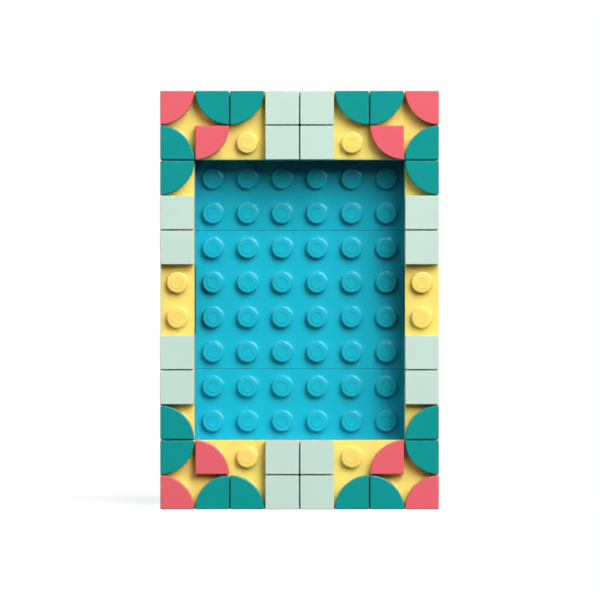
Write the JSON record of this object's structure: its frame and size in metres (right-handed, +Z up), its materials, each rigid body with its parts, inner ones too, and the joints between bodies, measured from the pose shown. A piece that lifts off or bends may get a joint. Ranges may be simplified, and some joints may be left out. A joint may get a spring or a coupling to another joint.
{
  "type": "brick-built picture frame",
  "caption": "Upright picture frame built from interlocking toy bricks, with a studded recess, a rim of flat quarter-round and square tiles, and a folding prop leg behind.",
  "frame": {"origin": "on the surface the frame stands on, under the middle of the whole object's bounding box", "axes": "+Z up, -Y out of the front of the frame, +X to the right as seen from the front"},
  "size_m": [0.0638, 0.0274, 0.0958],
  "materials": {
    "azure": "moulded gloss, sky blue",
    "yellow": "moulded gloss, pale warm yellow",
    "coral": "moulded gloss, coral pink",
    "teal": "moulded gloss, teal",
    "mint": "moulded gloss, pale mint",
    "dark": "moulded gloss, near black"
  },
  "bodies": {
    "frame": {"base_plate_top": "azure", "base_plate_middle": "azure", "base_plate_bottom": "azure", "wall_brick_top_left": "azure", "wall_brick_top_right": "azure", "wall_brick_bottom_left": "azure", "wall_brick_bottom_right": "azure", "side_brick_left_upper": "azure", "side_brick_left_middle": "dark", "side_brick_left_lower": "azure", "side_brick_right_upper": "azure", "side_brick_right_middle": "dark", "side_brick_right_lower": "azure", "rim_plate_top": "yellow", "rim_plate_bottom": "yellow", "rim_plate_left": "yellow", "rim_plate_right": "yellow", "quarter_tile_coral_column1_row1": "coral", "quarter_tile_teal_column2_row1": "teal", "quarter_tile_teal_column3_row1": "teal", "square_tile_mint_column4_row1": "mint", "quarter_tile_teal_column1_row2": "teal", "quarter_tile_coral_column2_row2": "coral", "square_tile_mint_column4_row2": "mint", "quarter_tile_teal_column1_row3": "teal", "square_tile_mint_column1_row4": "mint", "square_tile_mint_column1_row5": "mint", "quarter_tile_coral_column1_row12": "coral", "quarter_tile_teal_column2_row12": "teal", "quarter_tile_teal_column3_row12": "teal", "square_tile_mint_column4_row12": "mint", "quarter_tile_teal_column1_row11": "teal", "quarter_tile_coral_column2_row11": "coral", "square_tile_mint_column4_row11": "mint", "quarter_tile_teal_column1_row10": "teal", "square_tile_mint_column1_row9": "mint", "square_tile_mint_column1_row8": "mint", "quarter_tile_coral_column8_row1": "coral", "quarter_tile_teal_column7_row1": "teal", "quarter_tile_teal_column6_row1": "teal", "square_tile_mint_column5_row1": "mint", "quarter_tile_teal_column8_row2": "teal", "quarter_tile_coral_column7_row2": "coral", "square_tile_mint_column5_row2": "mint", "quarter_tile_teal_column8_row3": "teal", "square_tile_mint_column8_row4": "mint", "square_tile_mint_column8_row5": "mint", "quarter_tile_coral_column8_row12": "coral", "quarter_tile_teal_column7_row12": "teal", "quarter_tile_teal_column6_row12": "teal", "square_tile_mint_column5_row12": "mint", "quarter_tile_teal_column8_row11": "teal", "quarter_tile_coral_column7_row11": "coral", "square_tile_mint_column5_row11": "mint", "quarter_tile_teal_column8_row10": "teal", "square_tile_mint_column8_row9": "mint", "square_tile_mint_column8_row8": "mint", "hinge_plate_fixed": "dark"},
    "leg": {"hinge_plate_swinging": "dark", "prop_leg": "azure"}
  },
  "joints": [
    {"name": "leg_hinge", "type": "hinge", "parent": "frame", "child": "leg", "pos_m": [0, 0.0079, 0.0519], "axis": [1, 0, 0], "range_deg": [0, 90]}
  ]
}
